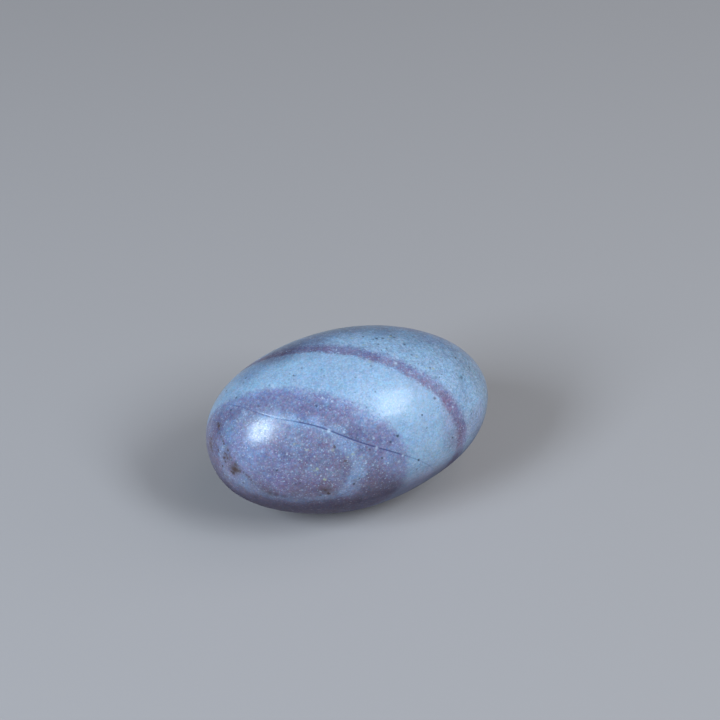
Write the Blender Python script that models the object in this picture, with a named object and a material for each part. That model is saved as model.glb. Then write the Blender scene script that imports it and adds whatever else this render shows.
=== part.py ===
"""A shiva lingam: one river stone, worn and polished to a smooth egg, lying on its side.

Metres, +Z up, +X the long way. The origin is on the surface the stone lies on, under its middle.
"""

import math

import bmesh
import bpy
from mathutils import Matrix, Vector

# Driving dimensions of the plain egg
LENGTH = 0.0500
WIDTH = 0.0313
HEIGHT = 0.0302
REST_WEAR = 0.00020  # how much is worn off the lowest point, which leaves the flat it rests on

# The stone isn't a perfect egg: it has soft swells and worn flats, each fading out over SWELL_REACH,
# in shares of the half sizes. Their places are degrees round from +X towards +Y, and degrees up.
SWELL_REACH = 0.35
SWELLS = (
    # name, degrees round, degrees up, height
    ("tip of the left end, worn back", 180, -5, -0.00035),
    ("back shoulder of the left end", 145, 25, 0.00025),
    ("front shoulder of the left end", 200, -25, 0.00020),
    ("tip of the right end", -5, 10, 0.00015),
    ("back shoulder of the right end, worn", 40, 40, -0.00015),
    ("front shoulder of the right end", -40, -20, 0.00010),
    ("low front, worn on the right", -60, -30, -0.00025),
    ("low front, full on the left", -100, -40, 0.00020),
    ("back, worn a little flat", 80, -10, -0.00025),
    ("low back, full on the right", 40, -45, 0.00015),
    ("resting side, worn flatter", 0, -90, -0.00020),
)

# A healed crack runs round the front. It lies near one plane through the stone, so on the plain egg it
# is a line of latitude about CRACK_POLE, and its degrees along are counted from the front of the top.
CRACK_POLE = (-0.700, -0.496, -0.514)
CRACK_LATITUDE = 13.75
CRACK_ENDS = (-60, 73)
CRACK_FADE = 36  # degrees along over which it grows from nothing at each end
CRACK_WANDER = ((0.65, 7, 41), (0.15, 11, 0))  # degrees to either side, waves all round, degrees to a crest
CRACK_WIDTH = 0.00030
CRACK_DEPTH = 0.00022

# Mesh: slices along the crack, and rows from pole to pole
SLICES = 80
ROWS = 40
CRACK_ROW = 23
SAME_PLACE = 1e-6  # points this near to the resting plane lie on it

COLOUR = (0.235, 0.315, 0.480, 1.0)
ROUGHNESS = 0.36
METALLIC = 0.0

HALF_SIZES = Vector((LENGTH, WIDTH, HEIGHT)) / 2


def turned_to(degrees_round, degrees_up):
    """The unit direction this many degrees round from +X and up from level."""
    around, up = math.radians(degrees_round), math.radians(degrees_up)
    return Vector((math.cos(up) * math.cos(around), math.cos(up) * math.sin(around), math.sin(up)))


def swell_at(direction):
    """How far the worn surface stands off the plain egg in this direction."""
    total = 0.0
    for _name, degrees_round, degrees_up, height in SWELLS:
        apart = (direction - turned_to(degrees_round, degrees_up)).length
        total += height * math.exp(-((apart / SWELL_REACH) ** 2))
    return total


def crack_axes():
    """Turns the plain sphere's poles to the crack's, with degree 0 along it at the front of the top."""
    pole = Vector(CRACK_POLE).normalized()
    front = Vector((0, -1, 1))
    start = (front - pole * front.dot(pole)).normalized()
    return Matrix((start, pole.cross(start), pole)).transposed()


def crack_strength(longitude):
    """1 along the crack, fading to 0 at its two ends."""
    along = math.degrees(longitude)
    left = min(along - CRACK_ENDS[0], CRACK_ENDS[1] - along) / CRACK_FADE
    left = min(max(left, 0.0), 1.0)
    return left * left * (3 - 2 * left)


def crack_latitude(longitude):
    """The crack's own latitude, which wanders a little to either side."""
    degrees = CRACK_LATITUDE
    for side, waves, crest in CRACK_WANDER:
        degrees += side * math.cos(waves * (longitude - math.radians(crest)))
    return math.radians(degrees)


def row_latitude(row, longitude):
    """Rows spread evenly from each pole to the crack's lips, with one row along its bottom."""
    middle = crack_latitude(longitude)
    lip = CRACK_WIDTH / 2 / (Vector(CRACK_POLE) * HALF_SIZES).length
    pole = math.pi / 2
    if row < CRACK_ROW:
        return -pole + (middle - lip + pole) * row / (CRACK_ROW - 1)
    if row > CRACK_ROW:
        return pole - (pole - middle - lip) * (ROWS - row) / (ROWS - CRACK_ROW - 1)
    return middle


def surface_point(direction, groove):
    """The point of the worn surface in this direction, let in by the groove's depth there."""
    point = Vector([half * share for half, share in zip(HALF_SIZES, direction)])
    normal = Vector([share / half for half, share in zip(HALF_SIZES, direction)]).normalized()
    return point + normal * (swell_at(direction) - groove)


def shape_stone(mesh):
    """Moves each point of a plain unit sphere to its place on the stone."""
    axes = crack_axes()
    for vertex in mesh.verts:
        longitude = math.atan2(vertex.co.y, vertex.co.x)
        latitude = math.asin(min(max(vertex.co.z, -1.0), 1.0))
        row = round((latitude / math.pi + 0.5) * ROWS)
        latitude = row_latitude(row, longitude)
        level = math.cos(latitude)
        on_sphere = (level * math.cos(longitude), level * math.sin(longitude), math.sin(latitude))
        groove = CRACK_DEPTH * crack_strength(longitude) if row == CRACK_ROW else 0.0
        vertex.co = surface_point(axes @ Vector(on_sphere), groove)


def middle_of(mesh, axis):
    """Half way between the mesh's two furthest points along this axis."""
    places = [vertex.co[axis] for vertex in mesh.verts]
    return (min(places) + max(places)) / 2


def wear_rest(mesh):
    """Cuts the lowest side flat, closes it, and stands the stone on the origin."""
    level = min(vertex.co.z for vertex in mesh.verts) + REST_WEAR
    cut = bmesh.ops.bisect_plane(
        mesh,
        geom=mesh.verts[:] + mesh.edges[:] + mesh.faces[:],
        dist=SAME_PLACE,
        plane_co=(0, 0, level),
        plane_no=(0, 0, -1),
        clear_outer=True,
    )
    rim = [part for part in cut["geom_cut"] if isinstance(part, bmesh.types.BMEdge)]
    bmesh.ops.contextual_create(mesh, geom=rim)
    bmesh.ops.recalc_face_normals(mesh, faces=mesh.faces[:])
    bmesh.ops.translate(mesh, verts=mesh.verts[:], vec=(-middle_of(mesh, 0), -middle_of(mesh, 1), -level))
    for vertex in mesh.verts:
        if vertex.co.z < 2 * SAME_PLACE:
            vertex.co.z = 0


def stone_material():
    material = bpy.data.materials.new("river_stone")
    material.use_nodes = True
    shader = material.node_tree.nodes["Principled BSDF"]
    shader.inputs["Base Color"].default_value = COLOUR
    shader.inputs["Roughness"].default_value = ROUGHNESS
    shader.inputs["Metallic"].default_value = METALLIC
    return material


def add_stone():
    mesh = bmesh.new()
    bmesh.ops.create_uvsphere(mesh, u_segments=SLICES, v_segments=ROWS, radius=1)
    shape_stone(mesh)
    wear_rest(mesh)
    data = bpy.data.meshes.new("stone")
    mesh.to_mesh(data)
    mesh.free()
    data.shade_smooth()
    data.set_sharp_from_angle(angle=math.radians(30))
    data.materials.append(stone_material())
    stone = bpy.data.objects.new("stone", data)
    bpy.context.scene.collection.objects.link(stone)
    return stone


for old in list(bpy.data.objects):
    bpy.data.objects.remove(old)
add_stone()
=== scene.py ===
import math

import bpy
from mathutils import Matrix, Vector


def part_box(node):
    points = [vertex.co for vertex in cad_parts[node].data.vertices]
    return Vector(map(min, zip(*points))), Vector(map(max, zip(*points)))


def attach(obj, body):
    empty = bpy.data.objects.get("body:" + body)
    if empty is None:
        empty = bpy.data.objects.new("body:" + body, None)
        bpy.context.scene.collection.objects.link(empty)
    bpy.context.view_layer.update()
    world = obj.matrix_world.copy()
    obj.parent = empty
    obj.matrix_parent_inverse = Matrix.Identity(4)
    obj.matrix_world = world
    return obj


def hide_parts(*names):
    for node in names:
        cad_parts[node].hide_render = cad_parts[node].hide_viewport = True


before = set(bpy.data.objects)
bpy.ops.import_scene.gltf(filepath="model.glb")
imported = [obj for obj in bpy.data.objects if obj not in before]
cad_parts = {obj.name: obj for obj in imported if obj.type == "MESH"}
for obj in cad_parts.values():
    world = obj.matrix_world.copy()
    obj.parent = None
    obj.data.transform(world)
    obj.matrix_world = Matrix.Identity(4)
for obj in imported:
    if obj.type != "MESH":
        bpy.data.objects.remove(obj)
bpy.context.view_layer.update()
boxLow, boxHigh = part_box("stone")
print("frame loaded, stone box in mm:", [round(1000 * side, 2) for side in boxHigh - boxLow])

mm = 0.001


def addObject(name, data):
    made = bpy.data.objects.new(name, data)
    bpy.context.scene.collection.objects.link(made)
    return made


# Node trees

# Gives a socket a plain value, or links it to what makes one
def feed(tree, socket, value):
    value = value.socket if isinstance(value, Field) else value
    if isinstance(value, bpy.types.NodeSocket):
        tree.links.new(value, socket)
    else:
        socket.default_value = value


def addNode(tree, kind, inputs=None, **settings):
    node = tree.nodes.new(kind)
    for name, value in settings.items():
        setattr(node, name, value)
    for key, value in (inputs or {}).items():
        feed(tree, node.inputs[key], value)
    return node


# A value on its way through a tree: sums written with it become math nodes
class Field:
    def __init__(self, tree, socket):
        self.tree = tree
        self.socket = socket

    def do(self, operation, *others):
        inputs = dict(enumerate((self, *others)))
        node = addNode(self.tree, "ShaderNodeMath", inputs, operation=operation)
        return Field(self.tree, node.outputs[0])

    def __add__(self, other):
        return self.do("ADD", other)

    def __sub__(self, other):
        return self.do("SUBTRACT", other)

    def __mul__(self, other):
        return self.do("MULTIPLY", other)

    def __truediv__(self, other):
        return self.do("DIVIDE", other)

    def __rsub__(self, other):
        return self * -1 + other

    def __rtruediv__(self, other):
        return self.do("POWER", -1.0) * other

    __radd__ = __add__
    __rmul__ = __mul__

    def clamped(self):
        return self.do("MAXIMUM", 0.0).do("MINIMUM", 1.0)

    def smooth(self):
        share = self.clamped()
        return share * share * (3 - 2 * share)

    def bell(self):
        return (self * self * -1).do("EXPONENT")


def vectorMath(tree, operation, first, second=None, scale=None):
    inputs = {0: first}
    if second is not None:
        inputs[1] = second
    if scale is not None:
        inputs["Scale"] = scale
    node = addNode(tree, "ShaderNodeVectorMath", inputs, operation=operation)
    single = operation in ("DOT_PRODUCT", "DISTANCE")
    return Field(tree, node.outputs["Value" if single else "Vector"])


# The three parts of a colour, or with XYZ of a vector
def parts(tree, whole, kind="Color"):
    node = addNode(tree, "ShaderNodeSeparate" + kind, {0: whole})
    return [Field(tree, out) for out in node.outputs[:3]]


def noise(tree, vector, scale, detail):
    return addNode(tree, "ShaderNodeTexNoise", {"Vector": vector, "Scale": scale, "Detail": detail}).outputs


# A random colour made into a shift to any side
def shiftOf(tree, color, reach):
    aside = vectorMath(tree, "SUBTRACT", color, (0.5, 0.5, 0.5))
    return vectorMath(tree, "SCALE", aside, scale=reach)


# A node group: an input given as a number is a float with that default, and a word is its kind
def newTree(name, kind, inputs, outputs):
    tree = bpy.data.node_groups.new(name, kind)
    for label, value in inputs.items():
        word = value if isinstance(value, str) else "Float"
        socket = tree.interface.new_socket(label, in_out="INPUT", socket_type="NodeSocket" + word)
        if word == "Float":
            socket.default_value = value
    for label, word in outputs.items():
        tree.interface.new_socket(label, in_out="OUTPUT", socket_type="NodeSocket" + word)
    given = {out.name: Field(tree, out) for out in tree.nodes.new("NodeGroupInput").outputs if out.name}
    result = tree.nodes.new("NodeGroupOutput").inputs
    return tree, given, result


def useGroup(tree, group, inputs):
    kind = "GeometryNodeGroup" if group.bl_idname == "GeometryNodeTree" else "ShaderNodeGroup"
    return addNode(tree, kind, inputs, node_tree=group)


def turnedTo(degreesRound, degreesUp):
    around, up = math.radians(degreesRound), math.radians(degreesUp)
    return Vector((math.cos(up) * math.cos(around), math.cos(up) * math.sin(around), math.sin(up)))


# The river stone. Sizes are in mm, and a direction from its middle is degrees round from +X and
# degrees up. A tint multiplies the colour under it.

riverStone = {
    # The plain egg, as in the CAD, and what is worn off under it
    "shape": {
        "length": 50.0,
        "width": 31.3,
        "height": 30.2,
        "restWear": 0.20,
        "slices": 380,  # round the crack's pole
        "rows": 250,  # from pole to pole
        "crowding": 0.14,  # how close the rows lie at the crack, as a share of even rows
        "crowdedWithin": 4.0,  # degrees to each side of it
        "rippleSize": 5.0,  # the faint unevenness of hand polishing
        "rippleHeight": 0.025,
    },

    # Soft swells and worn flats: direction and height
    "swellReach": 0.35,  # in shares of the half sizes
    "swells": {
        "left tip worn back": (180, -5, -0.35),
        "left back shoulder": (145, 25, 0.25),
        "left front shoulder": (200, -25, 0.20),
        "right tip": (-5, 10, 0.15),
        "right back shoulder worn": (40, 40, -0.15),
        "right front shoulder": (-40, -20, 0.10),
        "low front worn": (-60, -30, -0.25),
        "low front full": (-100, -40, 0.20),
        "back worn": (80, -10, -0.25),
        "low back full": (40, -45, 0.15),
        "resting side worn": (0, -90, -0.20),
    },

    # Small pits: direction, radius and depth
    "pits": (
        (181.0, 25.0, 0.34, 0.09), (198.0, 11.8, 0.36, 0.08), (198.2, 16.5, 0.3, 0.06),
        (206.5, 7.0, 0.55, 0.11), (249.4, -3.0, 0.36, 0.05),
    ),

    # The crack follows a line of latitude about its pole; degrees along are from the front of the top
    "crack": {
        "pole": (-0.700, -0.496, -0.514),
        "latitude": 13.75,
        "ends": (-60, 73),
        "faint": (0.32, 0.48),  # how strong it is towards its right and left ends
        "faintTurn": 3,  # how fast one gives way to the other, in each radian
        "faintGrow": 7,  # degrees over which it grows to that from each end
        "deep": (31, -42),  # degrees along between which it is deep
        "deepFade": (11, 28),  # degrees over which that fades
        "lost": (38, 5),  # degrees along where it is nearly lost, and for how far
        "lostShare": 0.75,
        "wander": ((0.65, 7, 41), (0.15, 11, 0)),  # degrees aside, waves round, degrees to a crest
        "width": 0.30,
        "widthShares": (0.2, 0.55, 0.5),  # of the width: always, by strength, by chance
        "unevenness": 14,  # changes of width in each radian
        "depth": 0.08,
        "grainsAcross": (10.0, -14.9, -29.3),  # degrees along where a grain bridges it
        "grainHalf": 1.0,  # degrees
        "grainFill": 0.85,
        "color": (0.042, 0.058, 0.190),
        "colorStrength": 0.88,
        "colorFull": 1.1,  # how soon it is full along the crack
        "colorNarrow": 2.0,  # how narrow the dark line is, and the dull one that it lies in
        "dullNarrow": 0.9,
    },

    # Rock layers lie square to a direction; their places are from the stone's middle
    "layers": {
        "middle": (-0.30, -0.14, 14.90),
        "square": (-0.545, -0.832, 0.105),
        "span": 20.0,  # to each side of the middle
        "bend": (0.30, 0.12, 1.0),  # slow waves: height, how many in each mm, detail
        "farBend": (2.2, 0.09, 1.5),  # the same on the side away from the photo
        "farFrom": -3.0,  # where that side begins, and over how far
        "farOver": 6.0,
        "ragged": (0.35, 0.8, 4.0),  # unevenness of their edges
        "grainStray": 0.5,  # how far single grains stray over an edge
    },
    "tones": {
        "skyBlue": (0.348, 0.502, 0.713),
        "paleBlue": (0.367, 0.530, 0.743),
        "slateBlue": (0.265, 0.357, 0.520),
        "greenBlue": (0.276, 0.377, 0.511),
        "greyBlue": (0.276, 0.347, 0.550),
        "lilac": (0.247, 0.275, 0.479),
        "heather": (0.217, 0.217, 0.364),
        "mauve": (0.208, 0.225, 0.407),
        "deepMauve": (0.189, 0.179, 0.319),
        "rose": (0.233, 0.230, 0.394),
    },
    "layerTones": (
        (-19.0, "greyBlue"), (-17.0, "slateBlue"), (-15.6, "mauve"), (-14.2, "deepMauve"),
        (-13.0, "greyBlue"), (-11.5, "slateBlue"), (-8.0, "greenBlue"), (-4.0, "skyBlue"),
        (-0.7, "skyBlue"), (0.3, "lilac"), (1.3, "rose"), (1.7, "rose"), (2.3, "skyBlue"),
        (6.5, "paleBlue"), (9.2, "skyBlue"), (10.3, "lilac"), (11.5, "mauve"), (13.4, "deepMauve"),
        (16.0, "deepMauve"), (17.0, "heather"), (19.0, "heather"),
    ),

    # The core shows low on the front, an uneven oval in a pale ring. Its places are on a sheet
    # square to the direction of its middle, with along to the right and up.
    "core": {
        "towards": (-0.798, -0.557, 0.230),
        "startsAt": 8.0,  # from the stone's middle
        "middle": (0.0, -0.1),
        "leftHalf": 11.0,
        "rightHalf": 9.3,
        "upHalf": 6.5,
        "wander": 2.4,  # unevenness of its outline
        "cutThrough": (-11.5, 0.8),  # a straight edge low on the left
        "cutInwards": (0.586, 0.810),
        "cutBlunt": 1.5,  # how softly that edge meets the oval
        "soft": 1.4,  # width of its edge
        "ring": 0.20,  # its width as a share of the oval
        "ringThinning": 0.6,  # the share of that lost at the left tip
        "ringAtCut": 4.4,
        "ringSoft": 1.6,
        "ringTone": "greyBlue",
        "leftTone": "lilac",
        "rightTone": "heather",
        "leftFrom": -1.0,  # to the left, where the left tone begins, and over how far
        "leftOver": 9.0,
        "edgeStain": (0.100, 0.085, 0.095),
        "stainWidth": 0.55,
        "stainStrength": 0.38,
        "stainFrom": 0.5,  # to the left
        "stainOver": 5.0,
        "stainPatches": (5.0, 0.7),  # how patchy it is, and how full
    },

    # Broad soft tints: direction, radius and tint at the middle. Some are the rock's own patchy tone, and
    # some are painted light and shade, above all the darker upper back rim
    "tintsAndPaintedShade": (
        (222.5, 53.4, 2.2, (1.0, 0.92, 0.93)), (258.5, 39.8, 2.2, (0.96, 0.94, 0.96)),
        (192.0, 27.0, 1.9, (1.12, 1.3, 1.28)), (202.5, 24.0, 1.7, (1.0, 0.88, 0.9)),
        (212.0, 17.0, 3.0, (1.0, 1.04, 1.06)), (221.0, 47.0, 2.6, (1.1, 1.2, 1.16)),
        (210.5, 41.0, 2.4, (0.98, 1.08, 1.1)), (186.0, 43.5, 2.6, (1.12, 1.2, 1.14)),
        (175.0, 36.0, 2.0, (1.08, 1.12, 1.1)), (269.0, 42.0, 2.0, (1.08, 1.18, 1.16)),
        (229.0, 33.0, 2.8, (1.15, 1.2, 1.16)), (227.5, 37.0, 1.8, (1.08, 1.12, 1.1)),
        (239.0, 37.0, 1.9, (1.12, 1.2, 1.16)), (205.6, 31.0, 1.9, (0.88, 0.93, 0.97)),
        (205.0, -8.0, 1.8, (1.16, 1.12, 1.12)), (244.0, 2.0, 2.6, (0.93, 0.86, 0.9)),
        (170.0, 58.0, 4.0, (1.06, 1.06, 1.04)), (203.6, 4.6, 2.2, (0.92, 0.72, 0.72)),
        (181.0, 14.0, 4.6, (0.84, 0.78, 0.84)), (174.0, 6.0, 3.0, (0.88, 0.8, 0.82)),
        (248.3, -1.0, 1.8, (0.88, 0.77, 0.72)), (253.0, 2.0, 1.8, (0.96, 0.8, 0.82)),
        (256.0, 15.0, 1.9, (0.82, 0.75, 0.76)), (240.0, 1.5, 3.4, (0.88, 0.78, 0.82)),
        (224.0, -4.4, 1.6, (0.84, 0.74, 0.7)), (228.0, 5.0, 2.8, (0.95, 0.84, 0.92)),
        (313.0, 31.0, 1.8, (1.06, 0.84, 0.86)), (275.5, 15.5, 1.8, (1.04, 1.22, 1.16)),
        (262.0, 8.0, 2.0, (1.0, 1.12, 1.12)), (258.0, -9.5, 2.0, (1.26, 1.34, 1.34)),
        (251.0, -3.5, 1.4, (0.86, 0.74, 0.76)), (268.0, 3.0, 2.6, (0.9, 0.82, 0.82)),
        (200.5, 9.5, 2.0, (0.88, 0.76, 0.8)), (218.0, 0.0, 2.2, (0.94, 0.8, 0.82)),
        (273.0, -10.0, 3.4, (0.72, 0.6, 0.62)), (288.0, -16.0, 3.4, (1.36, 1.24, 1.22)),
        (298.0, -12.0, 3.0, (1.22, 1.14, 1.12)), (-27.0, 34.9, 1.2, (0.86, 0.9, 0.92)),
        (-50.0, 23.0, 2.4, (1.02, 0.86, 0.88)), (-55.0, 14.0, 2.4, (0.96, 0.86, 0.9)),
        (-47.0, 9.0, 2.8, (0.98, 0.84, 0.84)), (-52.0, 2.0, 2.2, (0.97, 0.86, 0.88)),
        (-55.0, 6.0, 2.6, (0.8, 0.76, 0.78)), (-36.0, 2.0, 3.6, (0.84, 0.72, 0.76)),
        # From here on: painted shade along the upper back rim
        (148.0, 46.0, 3.6, (0.72, 0.72, 0.78)), (130.0, 55.0, 4.4, (0.52, 0.45, 0.5)),
        (109.0, 61.0, 4.4, (0.58, 0.54, 0.62)), (78.0, 60.0, 4.0, (0.66, 0.66, 0.74)),
        (50.0, 58.0, 4.4, (0.76, 0.82, 0.92)), (22.0, 52.0, 4.6, (0.9, 0.95, 1.04)),
        (5.0, 42.0, 4.6, (0.98, 1.0, 1.07)),
    ),

    # Noise through the rock: how many in each mm, and its detail
    "noises": {
        "fine": (3.0, 2.0),
        "middling": (1.1, 2.0),
        "wide": (0.5, 3.0),
        "broad": (0.32, 2.0),
    },

    # Mottling by the mosaic of grains and by each noise: light, and what purple rock adds to it, then
    # colour, and what purple rock adds to that
    "mottling": {
        "mosaic": (0.29, 0.10, 0.21, 0.18),
        "fine": (0.42, 0.26, 0.26, 0.22),
        "middling": (0.35, 0.40, 0.16, 0.14),
        "wide": (0.14, 0.45, 0.08, 0.10),
        "broad": (0.34, 0.44, 0.16, 0.16),
    },
    "mottleColors": {  # how red, green and blue follow each of these
        "light": (1.07, 1.04, 0.88),
        "lightInPurple": (-0.30, 0.18, 0.05),
        "warm": (1.0, -0.25, -0.35),
        "blue": (0.0, 0.0, 0.55),
    },
    "purpleBelow": 0.42,  # rock with less green than this counts as purple
    "purpleSlope": 4.5,
    "coarse": (0.85, 0.5),  # strength of all mottling, and what the outermost layer adds
    "outerFrom": 2.0,  # where that layer begins, and over how far
    "outerOver": 2.0,

    # The mosaic is the grain of the whole rock, and the other grains are strewn through it
    "mosaic": {"size": 0.26, "shift": (3.0, 7.0, 1.0)},
    "grains": {
        # share of them shown, and what purple rock adds; strength, and what purple rock, the ring
        # with the core, and the outermost layer add
        "quartz": {
            "size": 0.25, "shift": (13.0, 4.0, 8.0), "color": (0.500, 0.610, 0.820),
            "share": (0.065, 0.065), "strength": (0.30, 0.35, 0.0, 0.0),
        },
        "sparkle": {
            "size": 0.185, "shift": (5.0, 9.0, 2.0), "color": (0.620, 0.760, 0.940),
            "share": (0.18, 0.0), "strength": (0.55, -0.25, 0.22, 0.0),
        },
        "speck": {
            "size": 0.26, "shift": (11.0, 2.0, 5.0), "color": (0.060, 0.085, 0.140),
            "share": (0.022, 0.0), "strength": (0.40, 0.0, 0.0, 0.25),
        },
    },
    "crowds": (0.35, 4.0, 0.5),  # of those grains: the fewest, how much they gather, how widely

    # Marks in the colour, each mark's spots as direction, radius and strength
    "markShake": 0.42,  # how far their outlines are shaken
    "marks": {
        "brown stain": {"color": (0.086, 0.05, 0.046), "spots": (
            (178.6, 23.8, 0.28, 0.85), (180.6, 23.2, 0.3, 0.95), (183.2, 22.6, 0.22, 0.6),
            (185.4, 21.2, 0.22, 0.6), (188.1, 20.3, 0.22, 0.6), (191.0, 19.1, 0.24, 0.8),
            (192.7, 18.4, 0.24, 0.8), (197.4, 16.2, 0.26, 0.9), (196.3, 13.4, 0.26, 0.8),
            (196.6, 10.1, 0.28, 0.95), (199.1, 11.5, 0.28, 0.95), (198.3, 8.0, 0.26, 0.7),
            (201.1, 13.4, 0.24, 0.5), (197.9, 12.6, 0.24, 0.6), (196.5, 3.4, 0.28, 0.9),
            (205.2, 9.9, 0.36, 0.7), (205.2, 5.9, 0.66, 1.0), (204.7, 2.9, 0.4, 0.9),
            (203.4, 3.4, 0.3, 0.9), (207.2, 6.2, 0.36, 0.8), (208.7, 6.6, 0.28, 0.8),
            (210.9, 6.5, 0.22, 0.55), (212.9, 5.5, 0.22, 0.55), (214.2, 4.4, 0.22, 0.55),
            (215.3, 2.5, 0.22, 0.5), (216.0, 0.2, 0.22, 0.4), (179.7, 12.8, 0.28, 0.9),
            (180.0, 9.2, 0.3, 0.7), (182.6, 8.3, 0.3, 0.8), (184.8, 7.1, 0.28, 0.6),
            (190.5, 11.7, 0.24, 0.8), (187.3, 4.5, 0.3, 0.4), (251.3, 29.2, 0.28, 0.8),
            (256.3, 19.0, 0.25, 0.55), (248.3, -1.7, 0.28, 0.85), (249.5, -5.3, 0.36, 0.9),
            (246.9, -1.0, 0.3, 0.45), (246.2, -6.4, 0.3, 0.6), (245.3, -2.2, 0.3, 0.4),
            (27.0, 66.2, 0.3, 0.8), (-52.0, 38.1, 0.3, 0.7), (-9.3, 39.9, 0.22, 0.8),
            (-31.6, 52.1, 0.22, 0.6), (172.0, 39.5, 0.3, 0.5), (227.2, -6.7, 0.5, 0.45),
            (224.5, -5.9, 0.45, 0.35), (230.3, -7.8, 0.5, 0.35),
        )},
        "brown halo": {"color": (0.11, 0.072, 0.074), "spots": (
            (179.9, 23.5, 0.8, 0.35), (197.9, 11.9, 1.2, 0.45), (205.5, 6.4, 1.35, 0.6),
            (188.7, 20.0, 0.6, 0.3), (181.3, 9.5, 1.1, 0.4), (248.5, -2.8, 1.0, 0.4),
            (212.9, 4.8, 0.6, 0.25), (256.1, 17.6, 0.9, 0.25),
        )},
        "dark speck": {"color": (0.045, 0.062, 0.11), "spots": (
            (31.7, 73.1, 0.3, 0.9), (26.8, 71.0, 0.3, 0.75), (32.9, 74.6, 0.2, 0.6),
            (20.7, 66.6, 0.25, 0.7), (1.0, 65.5, 0.3, 0.75), (11.0, 76.1, 0.28, 0.6),
            (54.1, 73.4, 0.26, 0.6), (-7.8, 73.9, 0.22, 0.4), (-19.7, 63.0, 0.25, 0.5),
            (-26.2, 34.3, 0.45, 0.55), (-22.9, 34.0, 0.3, 0.3), (-12.3, 30.5, 0.25, 0.5),
            (-25.7, 40.5, 0.2, 0.45), (73.9, 83.4, 0.2, 0.5), (295.6, 33.3, 0.22, 0.95),
            (278.9, 58.1, 0.2, 0.65), (267.3, 70.5, 0.2, 0.54), (295.1, 74.5, 0.22, 0.5),
            (269.2, 50.2, 0.2, 0.5), (-31.6, 58.3, 0.2, 0.4), (-53.1, 28.2, 0.2, 0.5),
            (-54.7, 7.9, 0.2, 0.95), (227.1, 13.6, 0.26, 0.9), (238.0, 5.1, 0.22, 0.75),
            (236.2, 4.2, 0.24, 0.55), (259.6, 0.4, 0.28, 1.0), (261.8, 4.0, 0.22, 0.85),
            (271.7, 15.8, 0.26, 0.85), (266.9, 23.7, 0.22, 0.75), (280.2, 27.2, 0.34, 0.95),
            (276.3, 24.8, 0.24, 0.9), (287.1, 4.7, 0.28, 0.95), (286.2, -2.9, 0.22, 0.6),
            (278.7, 28.5, 0.2, 0.5), (225.2, 40.6, 0.5, 0.32), (226.2, 34.8, 0.2, 0.4),
            (194.8, 46.1, 0.26, 0.5), (179.1, 34.6, 0.26, 0.6), (167.7, 16.5, 0.4, 0.6),
            (210.9, -2.3, 0.22, 0.7), (235.5, 54.5, 0.26, 0.61), (187.7, 66.7, 0.22, 0.68),
            (155.2, 44.1, 0.24, 0.68), (159.2, 46.5, 0.2, 0.5), (159.7, 43.5, 0.26, 0.43),
            (155.6, 31.4, 0.2, 0.8), (179.6, 71.1, 0.2, 0.43), (209.5, 76.1, 0.2, 0.43),
            (182.2, 56.0, 0.22, 0.43), (171.7, 39.3, 0.24, 0.43), (248.9, 48.4, 0.3, 0.5),
            (209.9, 38.6, 0.2, 0.22),
        )},
        "yellow fleck": {"color": (0.48, 0.54, 0.4), "spots": (
            (244.7, 15.3, 0.32, 0.75), (243.6, 14.3, 0.25, 0.4), (244.1, 11.1, 0.25, 0.35),
            (247.7, 7.3, 0.24, 0.95), (248.3, 7.0, 0.22, 0.9), (238.2, 28.2, 0.22, 0.6),
            (239.4, 28.1, 0.2, 0.5), (259.3, 22.8, 0.2, 0.65), (260.0, 22.5, 0.2, 0.6),
            (262.9, 19.9, 0.26, 0.4), (231.8, 31.5, 0.22, 0.4), (-31.1, 50.5, 0.32, 0.65),
            (-33.0, 53.7, 0.22, 0.6), (-21.5, 60.5, 0.3, 0.4), (69.7, 75.1, 0.28, 0.6),
            (25.8, 66.9, 0.26, 0.75), (-57.1, 77.4, 0.34, 0.4), (250.7, 27.2, 0.32, 0.4),
            (235.9, -11.7, 0.3, 0.3), (257.4, 21.4, 0.2, 0.5), (28.7, 81.2, 0.24, 0.4),
            (20.7, 69.8, 0.2, 0.5),
        )},
        "pale grain": {"color": (0.6, 0.72, 0.9), "spots": (
            (247.7, 39.5, 0.34, 0.88), (-41.2, 67.4, 0.31, 0.75), (-29.6, 68.6, 0.37, 0.53),
            (269.9, 23.6, 0.24, 0.75), (269.2, 30.1, 0.26, 0.66), (255.5, 37.7, 0.24, 0.75),
            (280.5, 12.8, 0.22, 0.79), (231.0, 6.0, 0.19, 0.7), (230.2, 8.7, 0.19, 0.44),
            (241.9, 18.1, 0.2, 0.79), (231.1, 34.9, 0.19, 0.53), (242.8, 23.8, 0.2, 0.7),
            (248.7, 14.9, 0.2, 0.66), (246.4, 10.1, 0.2, 0.7), (273.8, 10.9, 0.2, 0.79),
            (226.3, 23.5, 0.22, 0.44), (229.8, 25.0, 0.19, 0.7), (264.6, 14.9, 0.2, 0.7),
            (264.9, 6.3, 0.2, 0.66), (253.4, -12.9, 0.19, 0.62), (238.8, -1.0, 0.2, 0.53),
            (248.4, -7.3, 0.19, 0.7), (264.8, 16.4, 0.17, 0.62), (184.9, 57.1, 0.42, 0.48),
            (230.5, 64.3, 0.34, 0.53), (176.3, 48.9, 0.38, 0.35), (237.4, 59.4, 0.19, 0.75),
            (245.9, 57.3, 0.24, 0.7), (268.1, 83.9, 0.17, 0.44), (-36.6, 42.6, 0.19, 0.79),
            (-48.0, 45.3, 0.2, 0.7), (-39.3, 35.2, 0.19, 0.7), (-47.0, 26.5, 0.22, 0.75),
            (-47.1, 8.7, 0.17, 0.53), (-56.4, 0.0, 0.19, 0.75), (-52.7, 6.4, 0.17, 0.62),
            (296.8, 10.9, 0.19, 0.53), (278.4, 9.4, 0.38, 0.44), (277.3, 23.6, 0.22, 0.53),
            (-27.4, 60.8, 0.22, 0.53), (205.1, 38.7, 0.17, 0.53), (119.9, 83.5, 0.17, 0.79),
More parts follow.
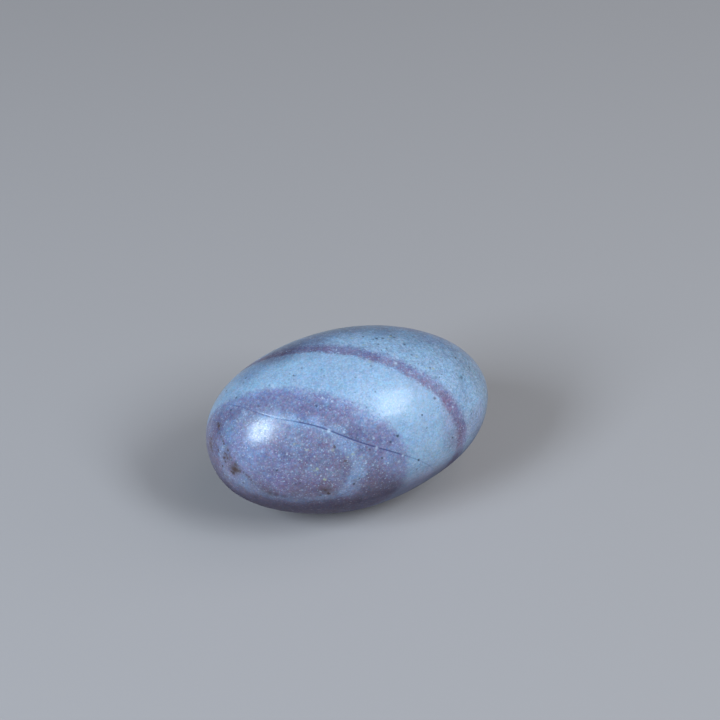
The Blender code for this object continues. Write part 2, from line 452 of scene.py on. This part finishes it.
            (138.6, 86.1, 0.17, 0.79), (182.0, 75.6, 0.17, 0.53), (230.0, 70.4, 0.26, 0.35),
            (-22.1, 79.6, 0.24, 0.44), (254.1, 56.4, 0.17, 0.62),
        )},
    },

    "finish": {
        "roughness": 0.39,
        "grainRoughness": 0.12,  # how much it differs between grains
        "quartzRoughness": -0.12,  # added to it there
        "dullRoughness": 0.3,
        "specular": 0.42,
        "coat": 0.42,  # in the blue layers
        "innerCoat": 1.00,  # in the purple ones and the core, which take the polish better
        "innerFrom": 9.0,  # where those begin, and over how far
        "innerOver": 3.0,
        "grainCoat": (0.55, 0.9), # shares of the coat: always, and by chance in each grain
        "coatIor": 1.60,
        "coatRoughness": 0.23,
        "grainTilt": 0.115,
        "relief": 0.006,
        "reliefOf": (0.6, -1.0, -2.0),  # quartz, specks and stains, in shares of it
        # Painted shade with a warm cast of painted bounce light, darkening the stone towards its foot
        "footShadeFrom": 1.5,  # from the middle, where the stone starts to darken towards its foot
        "footShadeOver": 7.0,
        "footShadeTint": (0.36, 0.28, 0.32),
        "footShadeDull": 0.85,
    },
}


def eggHalfSizes():
    shape = riverStone["shape"]
    return Vector((shape["length"], shape["width"], shape["height"])) / 2


# The stone's form, as a Geometry Nodes tree

def moundGroup():
    tree, given, result = newTree(
        "Soft Mound", "GeometryNodeTree",
        {"Direction": "Vector", "Place": "Vector", "Reach": 0.35, "Height": 0.0},
        {"Rise": "Float"},
    )
    apart = vectorMath(tree, "DISTANCE", given["Direction"], given["Place"])
    feed(tree, result["Rise"], (apart / given["Reach"]).bell() * given["Height"])
    return tree


def crackTurn():
    pole = Vector(riverStone["crack"]["pole"]).normalized()
    front = Vector((0, -1, 1))
    start = (front - pole * front.dot(pole)).normalized()
    return Matrix((start, pole.cross(start), pole)).transposed().to_euler("XYZ")


def stoneTree(halfSizes):
    crack = riverStone["crack"]
    tree, given, result = newTree(
        "River Stone", "GeometryNodeTree",
        {"Slices": "Int", "Rows": "Int", "Row Crowding": 1.0, "Crowded Within": 0.1,
         "Half Sizes": "Vector", "Rest Wear": 0.0, "Swell Reach": 0.35, "Ripple Size": 0.005,
         "Ripple Height": 0.0, "Crack Turn": "Vector", "Crack Latitude": 0.0, "Crack Start": -1.0,
         "Crack End": 1.0, "Crack Faint Right": 0.3, "Crack Faint Left": 0.3, "Crack Width": 0.0002,
         "Crack Depth": 0.0002, "Box Low": "Vector", "Box High": "Vector", "Finish": "Material"},
        {"Geometry": "Geometry"},
    )

    def inRadians(name):
        return [math.radians(degrees) for degrees in crack[name]]

    def combine(x, y, z):
        return addNode(tree, "ShaderNodeCombineXYZ", {0: x, 1: y, 2: z}).outputs[0]

    def moved(geometry, place):
        return addNode(tree, "GeometryNodeSetPosition", {0: geometry, "Position": place}).outputs[0]

    def stored(geometry, name, field):
        return addNode(tree, "GeometryNodeStoreNamedAttribute",
                       {"Geometry": geometry, "Name": name, "Value": field},
                       data_type="FLOAT", domain="POINT").outputs["Geometry"]

    ball = addNode(tree, "GeometryNodeMeshUVSphere",
                   {"Segments": given["Slices"], "Rings": given["Rows"], "Radius": 1.0}).outputs[0]
    position = tree.nodes.new("GeometryNodeInputPosition").outputs[0]
    x, y, z = parts(tree, position, "XYZ")
    along = y.do("ARCTAN2", x)
    row = z.do("MAXIMUM", -1.0).do("MINIMUM", 1.0).do("ARCSINE")

    # The crack's own latitude, which wanders to either side
    middle = given["Crack Latitude"]
    for aside, waves, crest in crack["wander"]:
        middle = middle + ((along - math.radians(crest)) * waves).do("COSINE") * math.radians(aside)

    # Rows crowd together beside the crack and still end on the poles
    def crowded(angle):
        share = angle / given["Crowded Within"]
        return angle * (1 - (1 - given["Row Crowding"]) / (1 + share * share))

    fromCrack = row - given["Crack Latitude"]
    side = fromCrack.do("SIGN")
    rowsToPole = math.pi / 2 - side * given["Crack Latitude"]
    angleToPole = math.pi / 2 - side * middle
    across = crowded(fromCrack) * angleToPole / crowded(rowsToPole)
    latitude = middle + across
    level = latitude.do("COSINE")
    plain = combine(level * along.do("COSINE"), level * along.do("SINE"), latitude.do("SINE"))
    direction = addNode(tree, "ShaderNodeVectorRotate",
                        {"Vector": plain, "Rotation": given["Crack Turn"]},
                        rotation_type="EULER_XYZ").outputs[0]

    # Swells and flats, pits, and the ripple left by polishing
    mound = moundGroup()
    mounds = [(*place, given["Swell Reach"], height) for *place, height in riverStone["swells"].values()]
    for degreesRound, degreesUp, radius, depth in riverStone["pits"]:
        mounds.append((degreesRound, degreesUp, radius * mm / halfSizes.y, -depth))
    rise = None
    for degreesRound, degreesUp, reach, height in mounds:
        node = useGroup(tree, mound, {"Direction": direction, "Place": turnedTo(degreesRound, degreesUp),
                                      "Reach": reach, "Height": height * mm})
        rise = Field(tree, node.outputs[0]) if rise is None else rise + Field(tree, node.outputs[0])
    onEgg = vectorMath(tree, "MULTIPLY", direction, given["Half Sizes"])
    ripple = noise(tree, onEgg, 1 / given["Ripple Size"], 1.0)[0]
    rise = rise + (Field(tree, ripple) - 0.5) * given["Ripple Height"]

    # The crack: full in its middle, fading to its ends, uneven, and bridged by a few grains
    toEnd = (along - given["Crack Start"]).do("MINIMUM", given["Crack End"] - along)
    deepLeft, deepRight = inRadians("deep")
    fadeLeft, fadeRight = inRadians("deepFade")
    lostAt, lostFor = inRadians("lost")
    deep = ((deepLeft - along) / fadeLeft).smooth() * ((along - deepRight) / fadeRight).smooth()
    kept = 1 - ((along - lostAt) / lostFor).bell() * crack["lostShare"]
    leftwards = (along * crack["faintTurn"] + 0.5).smooth()
    faintness = given["Crack Faint Right"] * (1 - leftwards) + given["Crack Faint Left"] * leftwards
    faint = (toEnd / math.radians(crack["faintGrow"])).smooth() * faintness * kept
    strength = faint + deep * (1 - faintness)
    for place in inRadians("grainsAcross"):
        near = ((along - place) / math.radians(crack["grainHalf"])).bell()
        strength = strength * (1 - near * crack["grainFill"])
    uneven = addNode(tree, "ShaderNodeTexNoise",
                     {"W": along * crack["unevenness"], "Scale": 1.0, "Detail": 2.0}, noise_dimensions="1D")
    always, byStrength, byChance = crack["widthShares"]
    share = always + strength * byStrength + Field(tree, uneven.outputs[0]) * byChance
    width = given["Crack Width"] * share
    perRadian = Vector([half * share for half, share in zip(halfSizes, crack["pole"])]).length
    acrossCrack = across * perRadian
    groove = (acrossCrack / width * 2).bell() * given["Crack Depth"] * strength

    normal = vectorMath(tree, "NORMALIZE", vectorMath(tree, "DIVIDE", direction, given["Half Sizes"]))
    lift = vectorMath(tree, "SCALE", normal, scale=rise - groove)
    made = stored(ball, "crackAcross", acrossCrack / width)
    made = stored(made, "crackStrength", strength)
    made = moved(made, vectorMath(tree, "ADD", onEgg, lift))

    # Worn flat where it rests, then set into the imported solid's box
    lowest = addNode(tree, "GeometryNodeBoundBox", {0: made}).outputs["Min"]
    restLevel = parts(tree, lowest, "XYZ")[2] + given["Rest Wear"]
    made = moved(made, combine(x, y, z.do("MAXIMUM", restLevel)))
    low, high = addNode(tree, "GeometryNodeBoundBox", {0: made}).outputs[1:3]
    wanted = vectorMath(tree, "SUBTRACT", given["Box High"], given["Box Low"])
    found = vectorMath(tree, "SUBTRACT", high, low)
    share = vectorMath(tree, "DIVIDE", vectorMath(tree, "SUBTRACT", position, low), found)
    place = vectorMath(tree, "ADD", vectorMath(tree, "MULTIPLY", share, wanted), given["Box Low"])
    made = moved(made, place)

    made = addNode(tree, "GeometryNodeSetShadeSmooth", {0: made}).outputs[0]
    made = addNode(tree, "GeometryNodeRealizeInstances", {0: made}).outputs[0]
    made = addNode(tree, "GeometryNodeSetMaterial", {0: made, "Material": given["Finish"]}).outputs[0]
    feed(tree, result["Geometry"], made)
    return tree


def makeStone(material):
    shape, crack = riverStone["shape"], riverStone["crack"]
    halfSizes = eggHalfSizes() * mm
    tree = stoneTree(halfSizes)
    values = {
        "Slices": shape["slices"],
        "Rows": shape["rows"],
        "Row Crowding": shape["crowding"],
        "Crowded Within": math.radians(shape["crowdedWithin"]),
        "Half Sizes": halfSizes,
        "Rest Wear": shape["restWear"] * mm,
        "Swell Reach": riverStone["swellReach"],
        "Ripple Size": shape["rippleSize"] * mm,
        "Ripple Height": shape["rippleHeight"] * mm,
        "Crack Turn": Vector(crackTurn()),
        "Crack Latitude": math.radians(crack["latitude"]),
        "Crack Start": math.radians(crack["ends"][0]),
        "Crack End": math.radians(crack["ends"][1]),
        "Crack Faint Right": crack["faint"][0],
        "Crack Faint Left": crack["faint"][1],
        "Crack Width": crack["width"] * mm,
        "Crack Depth": crack["depth"] * mm,
        "Box Low": boxLow,
        "Box High": boxHigh,
        "Finish": material,
    }
    maker = addObject("stoneMaker", bpy.data.meshes.new("stoneMaker"))
    modifier = maker.modifiers.new("River Stone", "NODES")
    modifier.node_group = tree
    for item in tree.interface.items_tree:
        if item.in_out == "INPUT":
            modifier[item.identifier] = values[item.name]
    graph = bpy.context.evaluated_depsgraph_get()
    mesh = bpy.data.meshes.new_from_object(maker.evaluated_get(graph))
    mesh.name = "riverStone"
    bpy.data.objects.remove(maker)
    return addObject("riverStone", mesh)


# The stone's finish, as shader node groups

def mineralGroup():
    tree, given, result = newTree(
        "Mineral Grains", "ShaderNodeTree",
        {"Vector": "Vector", "Size": 0.3, "Shift": "Vector"},
        {"Pick": "Color", "Inside": "Float"},
    )
    shakeScale, shakeReach = 1.6, 0.9  # shakes the grains' outlines, in shares of a grain
    spread = vectorMath(tree, "DIVIDE", given["Vector"], given["Size"])
    placed = vectorMath(tree, "ADD", spread, given["Shift"])
    aside = shiftOf(tree, noise(tree, placed, shakeScale, 1.0)["Color"], shakeReach)
    shaken = vectorMath(tree, "ADD", placed, aside)
    cells = addNode(tree, "ShaderNodeTexVoronoi", {"Vector": shaken, "Scale": 1.0})
    edges = addNode(tree, "ShaderNodeTexVoronoi", {"Vector": shaken, "Scale": 1.0},
                    feature="DISTANCE_TO_EDGE")
    feed(tree, result["Pick"], cells.outputs["Color"])
    feed(tree, result["Inside"], edges.outputs["Distance"])
    return tree


def chosenGroup(mineral):
    tree, given, result = newTree(
        "Chosen Grains", "ShaderNodeTree",
        {"Vector": "Vector", "Size": 0.3, "Share": 0.1, "Shift": "Vector"},
        {"Mask": "Float"},
    )
    fullness, edgeWidth = 1.4, 0.15  # how many of them are full, and how soft they end
    node = useGroup(tree, mineral, {name: given[name] for name in ("Vector", "Size", "Shift")})
    pick = parts(tree, node.outputs["Pick"])[0]
    strength = ((given["Share"] - pick) / given["Share"]).clamped()
    strength = strength * strength * fullness
    inside = Field(tree, node.outputs["Inside"]) / edgeWidth
    feed(tree, result["Mask"], strength.clamped() * inside.smooth())
    return tree


def mottleGroup():
    tree, given, result = newTree(
        "Mottling", "ShaderNodeTree",
        {"Random": "Color", "Light": 0.2, "Tint": 0.1, "Purple": 0.0},
        {"Color": "Color"},
    )
    level, warmth, blueness = [part - 0.5 for part in parts(tree, given["Random"])]
    light = level * given["Light"]
    warm = warmth * given["Tint"]
    blue = blueness * given["Tint"]
    shades = []
    for byLight, inPurple, byWarm, byBlue in zip(*riverStone["mottleColors"].values()):
        shade = 1 + light * (byLight + given["Purple"] * inPurple)
        shades.append(shade * (1 + warm * byWarm + blue * byBlue))
    mixed = addNode(tree, "ShaderNodeCombineColor", dict(enumerate(shades)))
    feed(tree, result["Color"], mixed.outputs[0])
    return tree


def spotGroup():
    tree, given, result = newTree(
        "Soft Spot", "ShaderNodeTree",
        {"Vector": "Vector", "Place": "Vector", "Radius": 1.0, "Strength": 1.0},
        {"Mask": "Float"},
    )
    outerEdge = 1.3  # where it has faded out, in radii
    apart = vectorMath(tree, "DISTANCE", given["Vector"], given["Place"])
    inside = (outerEdge - apart / given["Radius"]).smooth()
    feed(tree, result["Mask"], inside * given["Strength"])
    return tree


def layersGroup():
    layers = riverStone["layers"]
    tree, given, result = newTree(
        "Rock Layers", "ShaderNodeTree",
        {"Vector": "Vector", "Square To": "Vector", "Span": 20.0, "Bend": 0.3, "Far Bend": 0.0,
         "Ragged": 0.4, "Stray": 0.0},
        {"Color": "Color", "Depth": "Float"},
    )

    def wave(name, amount):
        random = Field(tree, noise(tree, given["Vector"], *layers[name][1:])[0])
        return (random - 0.5) * 2 * given[amount]

    flat = vectorMath(tree, "DOT_PRODUCT", given["Vector"], given["Square To"])
    farSide = ((layers["farFrom"] - flat) / layers["farOver"]).smooth()
    depth = flat + wave("bend", "Bend") + wave("farBend", "Far Bend") * farSide
    depth = depth + wave("ragged", "Ragged") + given["Stray"]
    ramp = addNode(tree, "ShaderNodeValToRGB", {0: depth / (given["Span"] * 2) + 0.5})
    elements = ramp.color_ramp.elements
    while len(elements) > 1:
        elements.remove(elements[-1])
    for index, (offset, tone) in enumerate(riverStone["layerTones"]):
        at = 0.5 + offset / layers["span"] / 2
        element = elements[0] if index == 0 else elements.new(at)
        element.position = at
        element.color = (*riverStone["tones"][tone], 1.0)
    feed(tree, result["Color"], ramp.outputs[0])
    feed(tree, result["Depth"], depth)
    return tree


def coreGroup():
    core = riverStone["core"]
    tree, given, result = newTree(
        "Oval Core", "ShaderNodeTree",
        {"Vector": "Vector", "Towards": "Vector", "Along": "Vector", "Middle Along": 0.0,
         "Middle Up": 0.0, "Left Half": 10.0, "Right Half": 10.0, "Up Half": 6.0, "Ring": 0.2,
         "Ring At Cut": 3.0, "Stray": 0.0},
        {"Inside Core": "Float", "Inside Ring": "Float", "Left": "Float"},
    )

    def placeAlong(axis):
        return vectorMath(tree, "DOT_PRODUCT", given["Vector"], axis)

    upwards = vectorMath(tree, "CROSS_PRODUCT", given["Towards"], given["Along"])
    along = placeAlong(given["Along"]) - given["Middle Along"]
    climb = placeAlong(upwards) - given["Middle Up"]
    near = placeAlong(given["Towards"]) - core["startsAt"]
    onLeft = along.do("LESS_THAN", 0.0)
    half = given["Right Half"] + onLeft * (given["Left Half"] - given["Right Half"])
    share = along / half
    rise = climb / given["Up Half"]
    oval = (share * share + rise * rise).do("SQRT")
    alongCut, upCut = core["cutThrough"]
    inwards = core["cutInwards"]
    cut = (along - alongCut) * inwards[0] + (climb - upCut) * inwards[1]
    scale = given["Up Half"] * 1.1  # turns shares of the oval into about mm
    insideCore = ((1 - oval) * scale).do("SMOOTH_MIN", cut, core["cutBlunt"]).do("MINIMUM", near)
    cutRing = cut + given["Ring At Cut"]
    ring = given["Ring"] * (1 - onLeft * share * share * core["ringThinning"])
    insideRing = (1 + ring - oval) * scale
    insideRing = insideRing.do("SMOOTH_MIN", cutRing, core["cutBlunt"]).do("MINIMUM", near)
    feed(tree, result["Inside Core"], insideCore + given["Stray"])
    feed(tree, result["Inside Ring"], insideRing + given["Stray"])
    feed(tree, result["Left"], along * -1)
    return tree


def mixColors(tree, mask, first, second, kind="MIX"):
    node = addNode(tree, "ShaderNodeMix", data_type="RGBA", blend_type=kind)
    sockets = {one.identifier: one for one in (*node.inputs, *node.outputs)}
    for key, value in (("Factor_Float", mask), ("A_Color", first), ("B_Color", second)):
        feed(tree, sockets[key], (*value, 1.0) if isinstance(value, tuple) else value)
    return sockets["Result_Color"]


def stoneMaterial():
    layers, tones, core = riverStone["layers"], riverStone["tones"], riverStone["core"]
    finish, crack = riverStone["finish"], riverStone["crack"]
    material = bpy.data.materials.new("riverStone")
    material.use_nodes = True
    tree = material.node_tree
    tree.nodes.clear()
    output = tree.nodes.new("ShaderNodeOutputMaterial")
    shader = tree.nodes.new("ShaderNodeBsdfPrincipled")
    tree.links.new(shader.outputs[0], output.inputs["Surface"])

    coordinates = tree.nodes.new("ShaderNodeTexCoord").outputs["Object"]
    middle = Vector(layers["middle"])
    mapped = addNode(tree, "ShaderNodeMapping",
                     {"Vector": coordinates, "Location": -middle, "Scale": (1 / mm,) * 3}).outputs[0]
    halfSizes = eggHalfSizes()
    mineral, mottle, spot = mineralGroup(), mottleGroup(), spotGroup()
    chosen, rock, oval = chosenGroup(mineral), layersGroup(), coreGroup()

    def centred(socket):
        return Field(tree, socket) - 0.5

    # The grain of the rock, a mosaic, and noise at wider and wider scales
    mosaic = useGroup(tree, mineral, {"Vector": mapped, "Size": riverStone["mosaic"]["size"],
                                      "Shift": riverStone["mosaic"]["shift"]}).outputs["Pick"]
    mosaicParts = parts(tree, mosaic)
    noises = {name: noise(tree, mapped, *values) for name, values in riverStone["noises"].items()}
    stray = (mosaicParts[2] - 0.5) * layers["grainStray"]

    # Flat layers first, then the ring and the core over them
    layered = useGroup(tree, rock, {
        "Vector": mapped,
        "Square To": Vector(layers["square"]).normalized(),
        "Span": layers["span"],
        "Bend": layers["bend"][0],
        "Far Bend": layers["farBend"][0],
        "Ragged": layers["ragged"][0],
        "Stray": stray,
    })
    depth = Field(tree, layered.outputs["Depth"])
    towards = Vector(core["towards"]).normalized()
    bowl = useGroup(tree, oval, {
        "Vector": mapped,
        "Towards": towards,
        "Along": Vector((0, 0, 1)).cross(towards).normalized(),
        "Middle Along": core["middle"][0],
        "Middle Up": core["middle"][1],
        "Left Half": core["leftHalf"],
        "Right Half": core["rightHalf"],
        "Up Half": core["upHalf"],
        "Ring": core["ring"],
        "Ring At Cut": core["ringAtCut"],
        "Stray": stray + centred(noises["wide"][0]) * core["wander"],
    })
    inCore, inRing, left = [Field(tree, out) for out in bowl.outputs]
    insideRing = (inRing / core["ringSoft"] + 0.5).smooth()
    color = mixColors(tree, insideRing, layered.outputs["Color"], tones[core["ringTone"]])
    onLeft = ((left - core["leftFrom"]) / core["leftOver"]).smooth()
    coreColor = mixColors(tree, onLeft, tones[core["rightTone"]], tones[core["leftTone"]])
    color = mixColors(tree, (inCore / core["soft"] + 0.5).smooth(), color, coreColor)
    patchy, full = core["stainPatches"]
    stain = (inCore / core["stainWidth"]).bell() * ((left - core["stainFrom"]) / core["stainOver"]).smooth()
    stain = stain * (centred(noises["middling"][0]) * patchy + full).clamped()
    color = mixColors(tree, stain * core["stainStrength"], color, core["edgeStain"])

    # How purple the ground is here: purple rock is the coarser and the more mottled
    green = parts(tree, color)[1]
    purple = ((riverStone["purpleBelow"] - green) * riverStone["purpleSlope"]).clamped()

    # Patches and marks lie on the egg's own surface, found by direction from the middle
    direction = vectorMath(tree, "NORMALIZE", vectorMath(tree, "DIVIDE", mapped, halfSizes))
    onEgg = vectorMath(tree, "MULTIPLY", direction, halfSizes)

    def spotMask(vector, degreesRound, degreesUp, radius, strength):
        direction = turnedTo(degreesRound, degreesUp)
        place = Vector([half * share for half, share in zip(halfSizes, direction)])
        node = useGroup(tree, spot, {"Vector": vector, "Place": place,
                                     "Radius": radius, "Strength": strength})
        return Field(tree, node.outputs[0])

    # The rock's own patchy tone together with painted light and shade
    for *place, tint in riverStone["tintsAndPaintedShade"]:
        color = mixColors(tree, spotMask(onEgg, *place, 1.0), color, tint, "MULTIPLY")

    # Mottling, each scale lighter and darker, warmer and cooler; the outermost layer is the coarser
    outer = ((riverStone["outerFrom"] - depth) / riverStone["outerOver"]).smooth()
    coarse = riverStone["coarse"][0] + outer * riverStone["coarse"][1]
    for name, (light, lightInPurple, tint, tintInPurple) in riverStone["mottling"].items():
        node = useGroup(tree, mottle, {
            "Random": mosaic if name == "mosaic" else noises[name]["Color"],
            "Light": (purple * lightInPurple + light) * coarse,
            "Tint": purple * tintInPurple + tint,
            "Purple": purple,
        })
        color = vectorMath(tree, "MULTIPLY", color, node.outputs[0]).socket

    # Pale quartz, sparkles and dark specks strewn through the rock
    fewest, gathering, wideness = riverStone["crowds"]
    crowd = fewest + (centred(noises["middling"][0]) * gathering + wideness).clamped()
    strewn = {}
    for name, grain in riverStone["grains"].items():
        share, shareInPurple = grain["share"]
        node = useGroup(tree, chosen, {"Vector": mapped, "Size": grain["size"], "Shift": grain["shift"],
                                       "Share": crowd * (share + purple * shareInPurple)})
        strength, inPurple, inRingAndCore, inOuter = grain["strength"]
        strength = strength + purple * inPurple + insideRing * inRingAndCore + outer * inOuter
        strewn[name] = Field(tree, node.outputs[0]).clamped() * strength
        color = mixColors(tree, strewn[name], color, grain["color"])

    # Marks seen on the stone, their outlines shaken
    shift = shiftOf(tree, noises["fine"]["Color"], riverStone["markShake"])
    shaken = vectorMath(tree, "ADD", onEgg, shift)
    marked = {}
    for name, mark in riverStone["marks"].items():
        for values in mark["spots"]:
            mask = spotMask(shaken, *values)
            marked[name] = marked[name].do("MAXIMUM", mask) if name in marked else mask
        color = mixColors(tree, marked[name], color, mark["color"])
    stained = marked["brown stain"]

    # Darker and warmer low down: painted shade towards the stone's foot, with a warm cast of painted bounce
    # light
    low = ((finish["footShadeFrom"] - parts(tree, mapped, "XYZ")[2]) / finish["footShadeOver"]).smooth()
    color = mixColors(tree, low, color, finish["footShadeTint"], "MULTIPLY")

    # The crack, dark inside; across is in shares of its width
    across, strength = [
        Field(tree, addNode(tree, "ShaderNodeAttribute", attribute_name=name).outputs["Fac"])
        for name in ("crackAcross", "crackStrength")
    ]
    inCrack = (across * crack["colorNarrow"]).bell() * (strength * crack["colorFull"]).clamped()
    besideCrack = (across * crack["dullNarrow"]).bell() * strength
    color = mixColors(tree, inCrack * crack["colorStrength"], color, crack["color"])
    feed(tree, shader.inputs["Base Color"], color)

    # Gloss: quartz takes the polish best, while pits, crack and foot stay dull
    dull = (stained + besideCrack + low * finish["footShadeDull"]).clamped()
    rough = finish["roughness"] + strewn["quartz"] * finish["quartzRoughness"]
    rough = rough + dull * finish["dullRoughness"] + (mosaicParts[0] - 0.5) * finish["grainRoughness"]
    feed(tree, shader.inputs["Roughness"], rough.clamped())
    inner = ((depth - finish["innerFrom"]) / finish["innerOver"]).smooth()
    coat = finish["coat"] + inner * (finish["innerCoat"] - finish["coat"])
    always, byChance = finish["grainCoat"]
    coat = coat * (1 - dull) * (always + mosaicParts[1] * byChance)
    feed(tree, shader.inputs["Coat Weight"], coat.clamped())
    shader.inputs["Coat IOR"].default_value = finish["coatIor"]
    shader.inputs["Coat Roughness"].default_value = finish["coatRoughness"]
    shader.inputs["Specular IOR Level"].default_value = finish["specular"]

    # Each grain's face lies a little aslant
    outwards = tree.nodes.new("ShaderNodeNewGeometry").outputs["Normal"]
    tilted = vectorMath(tree, "ADD", outwards, shiftOf(tree, mosaic, finish["grainTilt"]))
    height = Field(tree, noises["fine"][0])
    for mask, share in zip((strewn["quartz"], strewn["speck"], stained), finish["reliefOf"]):
        height = height + mask * share
    bump = addNode(tree, "ShaderNodeBump", {"Height": height, "Strength": 1.0,
                                            "Distance": finish["relief"] * mm,
                                            "Normal": vectorMath(tree, "NORMALIZE", tilted)})
    feed(tree, shader.inputs["Normal"], bump.outputs[0])
    return material


stoneFinish = stoneMaterial()
print("stone's finish made:", len(stoneFinish.node_tree.nodes), "nodes")
stone = makeStone(stoneFinish)
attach(stone, "root")
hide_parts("stone")
print("stone made:", len(stone.data.vertices), "points,",
      sum(len(face.vertices) - 2 for face in stone.data.polygons), "triangles")


# Floor

paleFloor = {
    "color": (0.500, 0.452, 0.445),
    "roughness": 0.85,
    "half": 3.0,  # m, from its middle to each side
}


def makeFloor():
    material = bpy.data.materials.new("paleFloor")
    material.use_nodes = True
    shader = material.node_tree.nodes["Principled BSDF"]
    shader.inputs["Base Color"].default_value = (*paleFloor["color"], 1)
    shader.inputs["Roughness"].default_value = paleFloor["roughness"]
    half = paleFloor["half"]
    mesh = bpy.data.meshes.new("floor")
    corners = [(-half, -half, 0), (half, -half, 0), (half, half, 0), (-half, half, 0)]
    mesh.from_pydata(corners, [], [(0, 1, 2, 3)])
    mesh.materials.append(material)
    addObject("floor", mesh)


# Camera, at the photo's viewing angle. It looks past the stone's middle, which falls on middlePixel.

view = {
    "azimuth": -20.37,
    "elevation": 42.0,
    "lens": 100.0,
    "sensor": 36.0,
    "distance": 341.0,  # mm
    "middlePixel": (347.46, 418.28),
    "imageSide": 720,
    "clip": (0.01, 20),  # m
}


def viewAxes():
    around, up = math.radians(view["azimuth"]), math.radians(view["elevation"])
    back = Vector((math.sin(around) * math.cos(up), -math.cos(around) * math.cos(up), math.sin(up)))
    right = Vector((math.cos(around), math.sin(around), 0))
    return right, back.cross(right), back


def makeCamera():
    right, up, back = viewAxes()
    pixelsPerSide = view["lens"] * view["imageSide"] / view["sensor"]
    depth = view["distance"] * mm
    offset = [(pixel - view["imageSide"] / 2) / pixelsPerSide * depth for pixel in view["middlePixel"]]
    data = bpy.data.cameras.new("camera")
    data.lens = view["lens"]
    data.sensor_width = view["sensor"]
    data.clip_start, data.clip_end = view["clip"]
    camera = addObject("camera", data)
    turn = Matrix((right, up, back)).transposed().to_4x4()
    middle = Vector(riverStone["layers"]["middle"]) * mm
    place = middle - right * offset[0] + up * offset[1] + back * depth
    camera.matrix_world = Matrix.Translation(place) @ turn
    bpy.context.scene.camera = camera


# Lights: direction as right, away and up in the photo's terms, distance and size in m, turn in degrees

studio = {
    "lamps": {
        "left window": {
            "towards": (-0.640, -0.470, 0.608), "distance": 0.6, "size": (0.285, 0.203), "turn": 130,
            "power": 2.5, "color": (0.685, 0.845, 1.0),
        },
        "right window": {
            "towards": (0.611, -0.324, 0.723), "distance": 0.6, "size": (0.284, 0.166), "turn": 51,
            "power": 1.66, "color": (0.725, 0.885, 1.0),
        },
        "sky fill": {
            "towards": (0.65, -0.10, 0.75), "distance": 0.9, "size": (1.1, 1.1), "turn": 0,
            "power": 2.3, "color": (1.0, 0.98, 1.0),
        },
    },
    "roomColor": (0.85, 0.95, 1.0),
    "roomLight": 0.10,
}


def makeLights():
    right = viewAxes()[0]
    away = Vector((-right.y, right.x, 0))
    aim = Vector(riverStone["layers"]["middle"]) * mm
    for name, values in studio["lamps"].items():
        across, ahead, up = values["towards"]
        towards = (right * across + away * ahead + Vector((0, 0, up))).normalized()
        data = bpy.data.lights.new(name, "AREA")
        data.shape = "RECTANGLE"
        data.size, data.size_y = values["size"]
        data.energy = values["power"]
        data.color = values["color"]
        lamp = addObject(name, data)
        place = Matrix.Translation(aim + towards * values["distance"])
        facing = (-towards).to_track_quat("-Z", "Y")
        turn = Matrix.Rotation(math.radians(values["turn"]), 4, "Z")
        lamp.matrix_world = place @ facing.to_matrix().to_4x4() @ turn
    world = bpy.data.worlds.new("studio")
    world.use_nodes = True
    background = world.node_tree.nodes["Background"]
    background.inputs["Color"].default_value = (*studio["roomColor"], 1)
    background.inputs["Strength"].default_value = studio["roomLight"]
    bpy.context.scene.world = world


makeFloor()
makeCamera()
makeLights()
bpy.context.scene.view_settings.view_transform = "Standard"
print("floor, camera and lights made")
